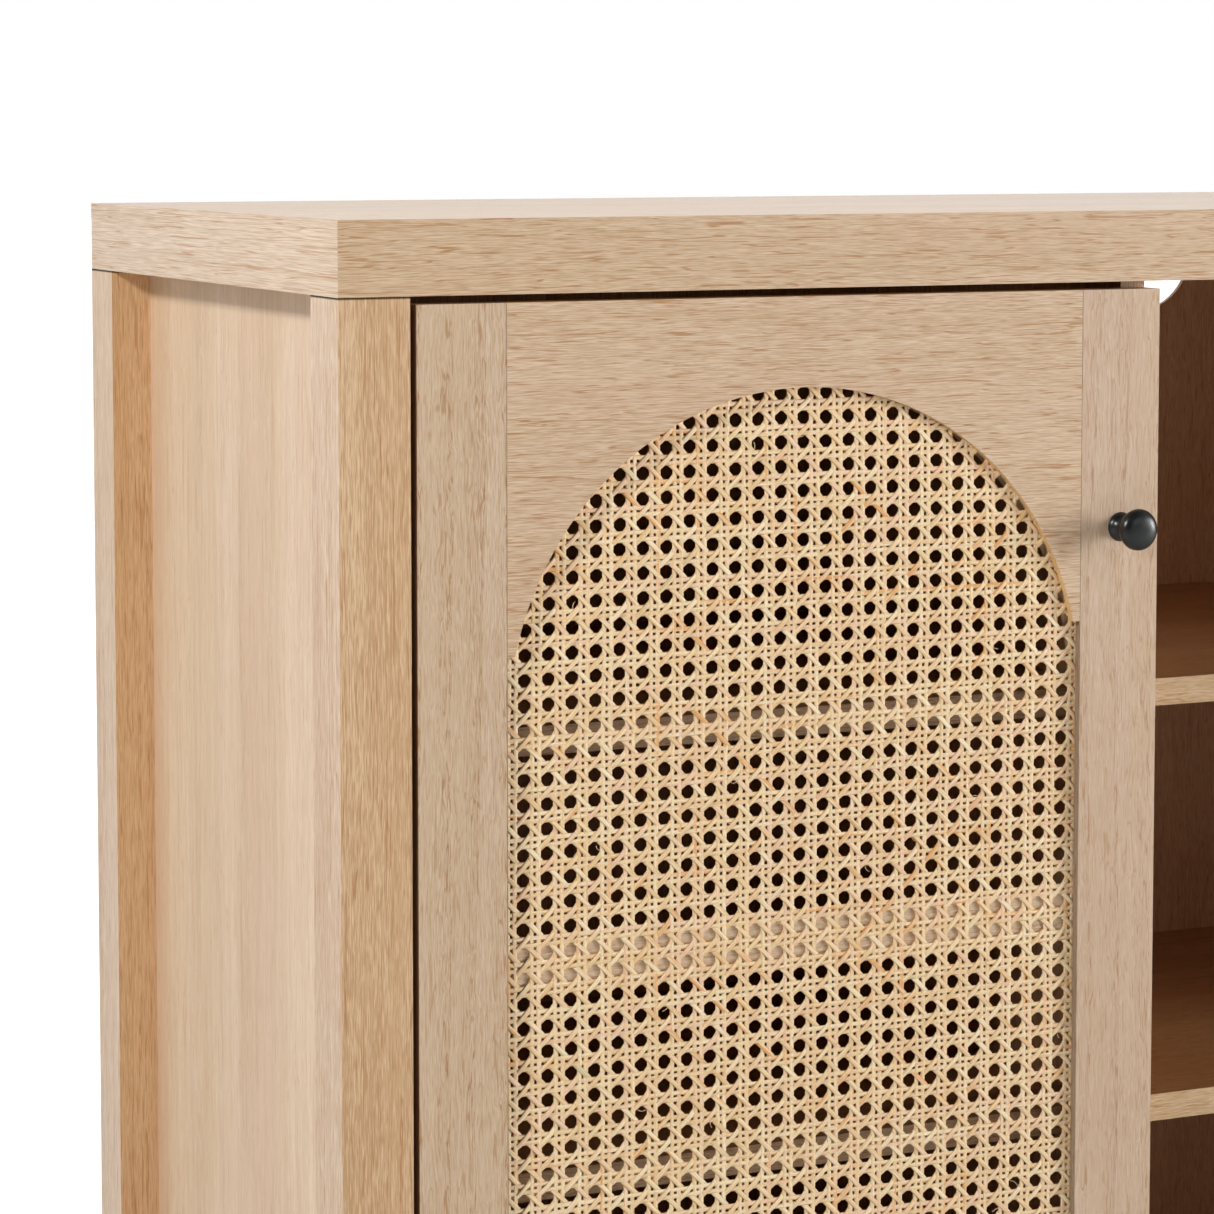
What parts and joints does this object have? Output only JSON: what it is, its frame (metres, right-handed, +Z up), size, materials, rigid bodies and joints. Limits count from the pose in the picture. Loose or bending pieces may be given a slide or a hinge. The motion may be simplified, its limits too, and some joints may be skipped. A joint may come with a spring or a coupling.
{
  "type": "shoe cabinet",
  "caption": "Long, low oak shoe cabinet: arched cane doors on concealed hinges with round black pulls, an open middle bay with shelves, and a cable notch at the back.",
  "frame": {"origin": "at floor level, in the middle of the width, half-way between the rear faces of the posts and the tips of the pulls", "axes": "+X to the right along the width seen from the front, -Y towards the front, +Z up"},
  "size_m": [1.41, 0.423, 0.8],
  "materials": {
    "oak_top": "matt oak laminate, straight grain along the width",
    "oak_posts": "matt oak laminate, upright grain",
    "oak_sides": "matt oak laminate, upright grain",
    "oak_boards": "matt oak laminate with edge banding",
    "oak_backs": "matt oak laminate, upright grain",
    "oak_shelves": "matt oak laminate, grain along the width",
    "oak_stiles": "matt oak, upright grain",
    "oak_rails": "matt oak, grain along the rail",
    "oak_strips": "plain matt oak",
    "cane": "natural woven cane, satin",
    "beech": "plain beech",
    "pull_black": "satin black",
    "hinge_steel": "nickel-plated steel",
    "zinc_steel": "zinc-plated steel",
    "catch_plastic": "matt brown plastic",
    "glide_plastic": "matt dark plastic"
  },
  "bodies": {
    "carcass": {"top_panel": "oak_top", "bottom_panel": "oak_boards", "post_front_left": "oak_posts", "post_front_right": "oak_posts", "post_rear_left": "oak_posts", "post_rear_right": "oak_posts", "side_panel_left": "oak_sides", "side_panel_right": "oak_sides", "divider_left": "oak_boards", "divider_right": "oak_boards", "back_panel_left": "oak_backs", "back_panel_centre": "oak_backs", "back_panel_right": "oak_backs", "shelf_centre_upper": "oak_shelves", "shelf_centre_lower": "oak_shelves", "shelf_left_upper": "oak_shelves", "shelf_left_lower": "oak_shelves", "shelf_right_upper": "oak_shelves", "shelf_right_lower": "oak_shelves", "centre_legs": "oak_posts", "floor_glides": "glide_plastic", "shelf_pins": "hinge_steel", "cam_locks": "zinc_steel", "cam_bolts": "zinc_steel", "wood_dowels_8mm": "beech", "wood_dowels_6mm": "beech", "divider_screws": "zinc_steel", "hinge_plates": "hinge_steel", "hinge_plate_screws": "zinc_steel", "hinge_arms": "hinge_steel", "magnetic_catches": "catch_plastic"},
    "left_door": {"left_door_hinge_stile": "oak_stiles", "left_door_pull_stile": "oak_stiles", "left_door_arched_rail": "oak_rails", "left_door_bottom_rail": "oak_rails", "left_door_batten": "oak_strips", "left_door_cane": "cane", "left_door_arch_bead": "oak_strips", "left_door_side_beads": "oak_strips", "left_door_pull": "pull_black", "left_door_pull_screw": "zinc_steel", "left_door_hinge_cups": "hinge_steel", "left_door_hinge_pins": "hinge_steel", "left_door_cup_screws": "zinc_steel", "left_door_strike_plate": "hinge_steel"},
    "right_door": {"right_door_hinge_stile": "oak_stiles", "right_door_pull_stile": "oak_stiles", "right_door_arched_rail": "oak_rails", "right_door_bottom_rail": "oak_rails", "right_door_batten": "oak_strips", "right_door_cane": "cane", "right_door_arch_bead": "oak_strips", "right_door_side_beads": "oak_strips", "right_door_pull": "pull_black", "right_door_pull_screw": "zinc_steel", "right_door_hinge_cups": "hinge_steel", "right_door_hinge_pins": "hinge_steel", "right_door_cup_screws": "zinc_steel", "right_door_strike_plate": "hinge_steel"}
  },
  "joints": [
    {"name": "left_door_hinge", "type": "hinge", "parent": "carcass", "child": "left_door", "pos_m": [-0.653, -0.18075, 0.4189], "axis": [0, 0, -1], "range_deg": [0, 95]},
    {"name": "right_door_hinge", "type": "hinge", "parent": "carcass", "child": "right_door", "pos_m": [0.653, -0.18075, 0.4189], "axis": [0, 0, 1], "range_deg": [0, 95]}
  ]
}
